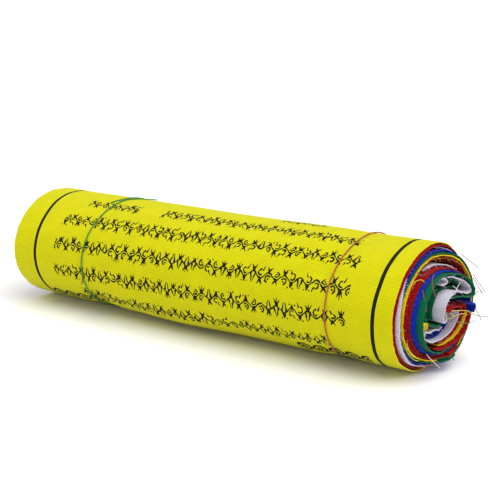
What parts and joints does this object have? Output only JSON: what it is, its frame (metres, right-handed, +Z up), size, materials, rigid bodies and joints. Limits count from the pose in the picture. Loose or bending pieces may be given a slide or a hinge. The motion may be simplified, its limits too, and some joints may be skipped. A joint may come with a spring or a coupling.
{
  "type": "roll of prayer flags",
  "caption": "Cotton prayer flags wound one round another into an oval roll, lying on its side, tied with two threads, the inner flags standing out of one end in a loose S",
  "frame": {"origin": "On the surface the roll lies on, in the middle of its flat spot, halfway along the outer flag", "axes": "+X along the roll towards the end where the inner flags stand out, +Z up, -Y towards the side with the print in view"},
  "size_m": [0.2991, 0.0879, 0.0725],
  "materials": {
    "yellow_cloth": "dyed plain-weave cotton with a dark print",
    "red_cloth": "dyed plain-weave cotton",
    "white_cloth": "bleached plain-weave cotton",
    "blue_cloth": "dyed plain-weave cotton",
    "green_cloth": "dyed plain-weave cotton",
    "green_thread": "spun cotton thread",
    "red_thread": "spun cotton thread"
  },
  "bodies": {
    "root": {"yellow_flag_1": "yellow_cloth", "red_flag_1": "red_cloth", "white_flag_1": "white_cloth", "blue_flag_1": "blue_cloth", "green_flag_1": "green_cloth", "yellow_flag_2": "yellow_cloth", "red_flag_2": "red_cloth", "red_flag_3": "red_cloth", "blue_flag_2": "blue_cloth", "green_flag_2": "green_cloth", "white_flag_2": "white_cloth", "white_flag_3": "white_cloth", "green_flag_3": "green_cloth", "green_flag_4": "green_cloth", "white_flag_4": "white_cloth", "white_flag_5": "white_cloth", "red_flag_4": "red_cloth", "yellow_flag_3": "yellow_cloth", "yellow_flag_4": "yellow_cloth", "red_flag_5": "red_cloth", "blue_flag_3": "blue_cloth", "blue_flag_4": "blue_cloth", "green_tie": "green_thread", "red_tie": "red_thread"}
  },
  "joints": []
}
